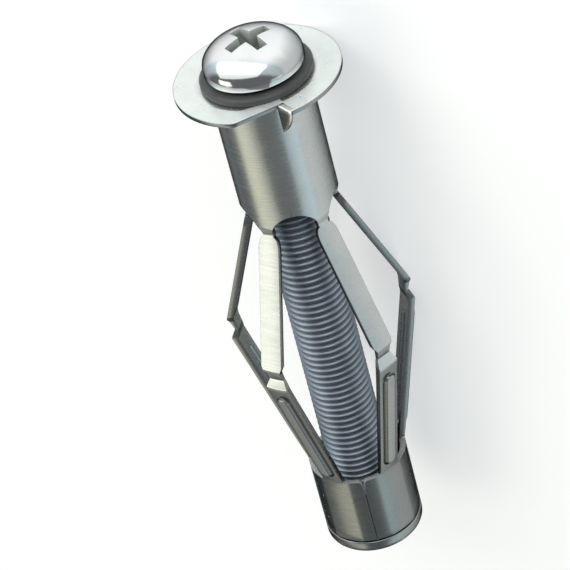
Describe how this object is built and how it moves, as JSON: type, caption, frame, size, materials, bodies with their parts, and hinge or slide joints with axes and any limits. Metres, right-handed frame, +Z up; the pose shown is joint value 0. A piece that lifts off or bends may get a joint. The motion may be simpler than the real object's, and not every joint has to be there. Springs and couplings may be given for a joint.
{
  "type": "hollow wall anchor",
  "caption": "Hollow wall anchor with a pan-head screw in a flanged sheet sleeve whose ribbed legs stand half folded, and a round nut in its far end.",
  "frame": {"origin": "on the floor under the middle of the anchor as it lies on its side", "axes": "+X along the screw towards its head (the axis dips 0.55 degrees to the flange), +Z up through one leg"},
  "size_m": [0.0771, 0.0234, 0.0222],
  "materials": {
    "screw_steel": "bright zinc plate",
    "washer_steel": "black oxide",
    "sleeve_sheet": "zinc plated sheet, fine rolling marks",
    "nut_steel": "turned, zinc plated"
  },
  "bodies": {
    "anchor": {"sleeve": "sleeve_sheet", "nut": "nut_steel"},
    "washer_carriage": {"washer": "washer_steel"},
    "screw_body": {"screw": "screw_steel"}
  },
  "joints": [
    {"name": "screw_advance", "type": "slide", "parent": "anchor", "child": "washer_carriage", "axis": [1, 0, -0.0096], "range_m": [0, 0.0092]},
    {"name": "screw_turn", "type": "hinge", "parent": "washer_carriage", "child": "screw_body", "pos_m": [0.03337, 0, 0.01], "axis": [1, 0, -0.0096], "range_deg": [0, 3600.01]}
  ],
  "couplings": [
    {"joint": "screw_turn", "follows": "screw_advance", "rad_per_m": 6829.5}
  ]
}
